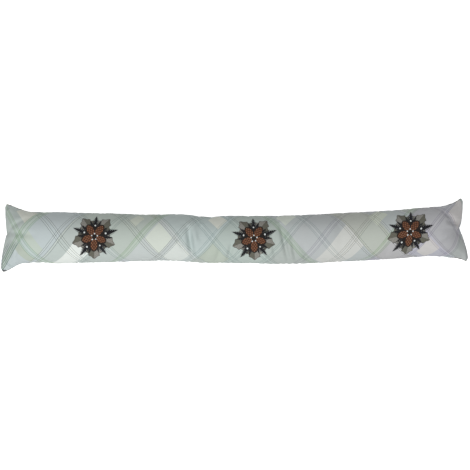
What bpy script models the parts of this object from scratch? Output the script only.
# Draught excluder: a long stuffed cloth case that lies along the foot of a door.
#
# Two printed panels of plain-weave cloth are sewn together all round and filled with
# fibre. The body is nearly round. Each end is a straight seam, so the round body
# flattens towards it, the middle of the seam is drawn in and its two corners stand
# out as ears. It lies on its back: X runs along it, Y runs across it from the near
# seam to the far seam, and the floor is z = 0, where the filling settles flat.
import math
from collections import namedtuple

import bpy
import numpy as np

MM = 0.001

# Driving sizes, in metres
LENGTH = 0.900
PANEL_WIDTH = 0.146
CROWN_HEIGHT = 0.087
SEAM_SHARE = 0.465
SETTLED_DEPTH = 0.0058
SETTLED_BLEND = 0.0016
SHOULDER_AT_NOTCH = 0.056
SHOULDER_AT_EARS = 0.092
SHOULDER_FULLNESS = 0.60
EAR_REACH = 0.090
END_DROOP = 0.006
EAR_DROOP = 0.008
EDGE_THICKNESS = 0.0014
EDGE_REACH = 0.005
ROUND_HALF_WIDTH = 0.0465
ROUNDNESS = 0.6

# Spacing of the loft, in metres
FIRST_STEP = 0.0030
STEP_GROWTH = 1.13
LARGEST_STEP = 0.0088
FIRST_CELL = 0.0030
CELL_GROWTH = 1.50
LARGEST_CELL = 0.0082

CLOTH_COLOUR = (0.56, 0.61, 0.59, 1.0)
CLOTH_ROUGHNESS = 0.85

# Where the two long seams run in plan, in millimetres: "along" is measured from the
# middle of the case, "far" and "near" are the places of the seams across it
Edge = namedtuple("Edge", "along far near")
LONG_SEAMS = (
    Edge(-452, 60.2, -71.6),
    Edge(-439, 60.0, -71.4),
    Edge(-428, 56.8, -66.4),
    Edge(-412, 50.5, -58.2),
    Edge(-392, 44.9, -54.6),
    Edge(-368, 43.0, -53.8),
    Edge(-335, 42.9, -54.8),
    Edge(-296, 41.8, -53.9),
    Edge(-258, 40.9, -53.2),
    Edge(-220, 40.1, -52.0),
    Edge(-176, 38.4, -50.8),
    Edge(-142, 38.4, -50.0),
    Edge(-112, 38.6, -50.6),
    Edge(-85, 37.2, -52.0),
    Edge(-64, 34.8, -53.2),
    Edge(-44, 33.6, -53.9),
    Edge(-18, 35.1, -54.0),
    Edge(30, 35.4, -54.6),
    Edge(87, 35.8, -55.6),
    Edge(126, 37.0, -55.3),
    Edge(164, 38.9, -53.9),
    Edge(202, 40.9, -52.0),
    Edge(241, 42.8, -50.1),
    Edge(279, 44.8, -48.0),
    Edge(318, 47.4, -45.4),
    Edge(346, 50.0, -42.8),
    Edge(375, 52.4, -41.6),
    Edge(397, 54.8, -42.6),
    Edge(414, 59.0, -44.4),
    Edge(426, 63.6, -45.8),
    Edge(436, 69.6, -47.6),
    Edge(446, 70.0, -51.2),
    Edge(454, 70.0, -51.4),
)

# The two end seams, in millimetres: where the drawn-in notch lies, how far across it
# is as a share of the half width, how far each ear stands out beyond it, the bend of
# the seam out to each ear, and the radius of each ear's tip
EndSeam = namedtuple(
    "EndSeam", "notch share far_ear near_ear far_bend near_bend far_tip near_tip"
)
LEFT_END = EndSeam(-435.4, 0.125, 4.6, 12.6, 0.80, 1.00, 5.5, 6.0)
RIGHT_END = EndSeam(433.3, 0.066, 7.6, 17.6, 0.60, 1.30, 5.0, 5.0)

# Troughs pressed into the upper panel, in millimetres, from one end of the trough to
# the other: "along" from the middle, "round" over the cloth from the crown line
Fold = namedtuple("Fold", "along0 round0 along1 round1 width depth")
BODY_FOLDS = (
    Fold(-88, 38, -79, -26, 8.0, 3.6),
    Fold(-46, 72, -68, 34, 9.0, 3.0),
    Fold(-52, -18, -64, -60, 9.0, 2.4),
    Fold(-20, -26, -34, -62, 9.0, 1.8),
    Fold(80, 18, 87, -52, 8.5, 2.6),
    Fold(103, 12, 113, -58, 9.0, 2.2),
    Fold(124, -6, 131, -50, 9.0, 1.5),
    Fold(298, 42, 288, -34, 11.0, 1.8),
    Fold(352, 46, 338, -20, 11.0, 1.5),
    Fold(-178, 46, -190, -42, 12.0, 1.5),
    Fold(-262, 36, -256, -44, 12.0, 1.2),
    Fold(196, 44, 204, -30, 12.0, 1.2),
)
LEFT_END_FOLDS = (
    Fold(-434, 9, -384, 42, 6.5, 3.0),
    Fold(-434, 8, -374, 6, 6.5, 2.6),
    Fold(-434, 7, -388, -30, 6.5, 3.0),
    Fold(-432, 50, -396, 40, 7.0, 1.8),
    Fold(-440, -58, -398, -38, 7.0, 2.6),
)
RIGHT_END_FOLDS = (
    Fold(432, 6, 388, 44, 6.5, 3.4),
    Fold(432, 5, 366, 10, 7.5, 3.2),
    Fold(432, 4, 380, -32, 6.5, 3.4),
    Fold(432, 54, 402, 42, 7.0, 2.0),
    Fold(442, -56, 402, -40, 7.0, 2.8),
)

# Slow unevenness of the filling: waves along and round the case, where it starts, and
# its height in millimetres
Lump = namedtuple("Lump", "waves_along waves_round start height")
LUMPS = (
    Lump(3.3, 1.0, 0.4, 0.55),
    Lump(7.1, 2.0, 1.9, 0.45),
    Lump(11.7, 1.0, 3.1, 0.35),
    Lump(17.3, 3.0, 5.2, 0.25),
)


def smooth_through(places, knots, values):
    """Read a smooth curve through (knots, values) at the given places."""
    knots = np.asarray(knots, dtype=float)
    values = np.asarray(values, dtype=float)
    slopes = np.gradient(values, knots)
    places = np.clip(places, knots[0], knots[-1])
    cell = np.clip(np.searchsorted(knots, places) - 1, 0, len(knots) - 2)
    span = knots[cell + 1] - knots[cell]
    q = (places - knots[cell]) / span
    start = values[cell] * (1 + 2 * q) * (1 - q) ** 2
    end = values[cell + 1] * q * q * (3 - 2 * q)
    leaving = slopes[cell] * span * q * (1 - q) ** 2
    arriving = slopes[cell + 1] * span * q * q * (q - 1)
    return start + end + leaving + arriving


def seam_places(along):
    """Return where the far and the near seam lie across the case, in metres."""
    knots = [edge.along * MM for edge in LONG_SEAMS]
    far = smooth_through(along, knots, [edge.far * MM for edge in LONG_SEAMS])
    near = smooth_through(along, knots, [edge.near * MM for edge in LONG_SEAMS])
    return far, near


def end_seam(end, across, outward):
    """Return how far along the end seam lies, for shares across of -1 near to 1 far."""
    far_share = np.clip((across - end.share) / (1 - end.share), 0, 1)
    near_share = np.clip((end.share - across) / (1 + end.share), 0, 1)
    reach = end.far_ear * np.sin(far_share * math.pi / 2) ** end.far_bend
    reach += end.near_ear * np.sin(near_share * math.pi / 2) ** end.near_bend
    far, near = seam_places(np.array(end.notch * MM))
    half_width = (far - near) / 2 / MM
    for tip, side in ((end.far_tip, 1), (end.near_tip, -1)):
        past_tip = np.clip((across * side - 1) * half_width / tip + 1, 0, 1)
        reach = reach - tip * (1 - np.sqrt(1 - past_tip ** 2))
    return (end.notch + outward * reach) * MM


def graded_steps(total, first, growth, largest):
    """Return shares from 0 to 1 over a stretch, close together at both of its ends."""
    steps = []
    step = first
    while sum(steps) + step < total / 2:
        steps.append(step)
        step = min(step * growth, largest)
    half = np.concatenate(([0.0], np.cumsum(steps)))
    half = half * (total / 2) / half[-1]
    return np.concatenate((half, total - half[-2::-1])) / total


def trough(folds, along, girth):
    """Return how deep the folds press at each place of the cloth, in metres."""
    depth = np.zeros_like(along)
    for fold in folds:
        start = np.array((fold.along0, fold.round0)) * MM
        line = np.array((fold.along1, fold.round1)) * MM - start
        share = (along - start[0]) * line[0] + (girth - start[1]) * line[1]
        share = np.clip(share / line.dot(line), 0, 1)
        gap_along = along - start[0] - share * line[0]
        gap_round = girth - start[1] - share * line[1]
        nearness = (gap_along ** 2 + gap_round ** 2) / (fold.width * MM) ** 2
        lip = 0.30 * np.exp(-nearness / 5)
        taper = 0.35 + 0.65 * np.sin(math.pi * share)
        depth += fold.depth * MM * taper * (np.exp(-nearness) - lip)
    return depth


def unevenness(along, turn_round):
    """Return how far the filling stands out or falls in, in metres."""
    height = np.zeros_like(along)
    for lump in LUMPS:
        turn = 2 * math.pi * lump.waves_along * along / LENGTH
        height += lump.height * MM * np.sin(turn + lump.waves_round * turn_round + lump.start)
    return height


def settle(height):
    """Flatten what would lie below the floor, with a short soft bend beside the flat."""
    bend = (height + SETTLED_BLEND) ** 2 / (4 * SETTLED_BLEND)
    settled = np.where(height < SETTLED_BLEND, bend, height)
    return np.where(height < -SETTLED_BLEND, 0.0, settled)


def panel_points(shares_along, shares_across, upper):
    """Return a grid of points on one panel, a row per station and near to far across."""
    share = shares_along[:, None]
    flat = 2 * shares_across[None, :] - 1
    turn = math.pi * shares_across[None, :]
    left = end_seam(LEFT_END, flat, -1)
    right = end_seam(RIGHT_END, flat, 1)
    left_middle = LEFT_END.notch * MM
    right_middle = RIGHT_END.notch * MM
    straight = left_middle + share * (right_middle - left_middle)
    left_fade = np.clip(1 - (straight - left_middle) / EAR_REACH, 0, 1) ** 2
    right_fade = np.clip(1 - (right_middle - straight) / EAR_REACH, 0, 1) ** 2
    along = straight + (left - left_middle) * left_fade + (right - right_middle) * right_fade

    shoulder = SHOULDER_AT_NOTCH + (SHOULDER_AT_EARS - SHOULDER_AT_NOTCH) * abs(flat) ** 3
    from_end = np.minimum(along - left, right - along)
    closed = 1 - np.clip(from_end / shoulder, 0, 1)
    fullness = (1 - closed ** 2) ** SHOULDER_FULLNESS
    across = (1 - fullness) * flat - fullness * np.cos(turn)
    bulge = fullness * np.sin(turn)

    far, near = seam_places(along)
    half_width = (far - near) / 2
    seam_height = SEAM_SHARE * CROWN_HEIGHT
    girth = PANEL_WIDTH / 2 * flat
    if upper:
        sink = unevenness(along, turn) * fullness
        for folds in (BODY_FOLDS, LEFT_END_FOLDS, RIGHT_END_FOLDS):
            sink -= trough(folds, along, girth)
        rounder = (PANEL_WIDTH * 2 / math.pi - half_width) - ROUND_HALF_WIDTH
        rise = CROWN_HEIGHT - seam_height + rounder * ROUNDNESS
        side = 1
    else:
        sink = unevenness(along, -turn) * fullness
        for folds in (LEFT_END_FOLDS, RIGHT_END_FOLDS):
            sink -= trough(folds, along, -girth)
        rise = seam_height + SETTLED_DEPTH
        side = -1
    sink = sink * np.sin(turn)
    cloth_edge = EDGE_THICKNESS * np.minimum(1, 3 * np.sin(turn)) * np.minimum(1, from_end / EDGE_REACH)
    height = rise * bulge + cloth_edge + sink
    y = (far + near) / 2 + (half_width + sink * np.sin(turn)) * across
    z = seam_height - closed ** 2 * (END_DROOP + EAR_DROOP * flat ** 2) + side * height
    return np.stack((along, y, settle(z)), axis=-1)


def loft_case():
    """Return the vertices and faces of the closed case, as one body."""
    body_length = (RIGHT_END.notch - LEFT_END.notch) * MM
    shares_along = graded_steps(body_length, FIRST_STEP, STEP_GROWTH, LARGEST_STEP)
    shares_across = graded_steps(PANEL_WIDTH, FIRST_CELL, CELL_GROWTH, LARGEST_CELL)
    upper = panel_points(shares_along, shares_across, True)
    lower = panel_points(shares_along, shares_across, False)
    rows, columns = upper.shape[:2]
    vertices = []
    number = {}

    def place(panel, row, column):
        on_seam = row in (0, rows - 1) or column in (0, columns - 1)
        key = (0 if on_seam else panel, row, column)
        if key not in number:
            number[key] = len(vertices)
            vertices.append((upper, lower)[panel][row, column])
        return number[key]

    faces = []
    for panel in (0, 1):
        for row in range(rows - 1):
            for column in range(columns - 1):
                face = [
                    place(panel, row, column),
                    place(panel, row + 1, column),
                    place(panel, row + 1, column + 1),
                    place(panel, row, column + 1),
                ]
                faces.append(face if panel == 0 else face[::-1])

    points = np.array(vertices)
    low = points.min(axis=0)
    high = points.max(axis=0)
    centre = (low + high) / 2
    points = points - (centre[0], centre[1], low[2])
    points[:, 0] *= LENGTH / (high[0] - low[0])
    return points, faces


def cloth_material():
    material = bpy.data.materials.new("printed_cotton")
    material.use_nodes = True
    shader = material.node_tree.nodes["Principled BSDF"]
    shader.inputs["Base Color"].default_value = CLOTH_COLOUR
    shader.inputs["Roughness"].default_value = CLOTH_ROUGHNESS
    shader.inputs["Metallic"].default_value = 0.0
    return material


def clear_objects():
    for old in list(bpy.data.objects):
        bpy.data.objects.remove(old, do_unlink=True)


def build():
    clear_objects()
    collection = bpy.data.collections.new("draught_excluder")
    bpy.context.scene.collection.children.link(collection)
    points, faces = loft_case()
    mesh = bpy.data.meshes.new("stuffed_case")
    mesh.from_pydata(points.tolist(), [], faces)
    mesh.validate()
    mesh.shade_smooth()
    mesh.materials.append(cloth_material())
    case = bpy.data.objects.new("stuffed_case", mesh)
    collection.objects.link(case)


build()
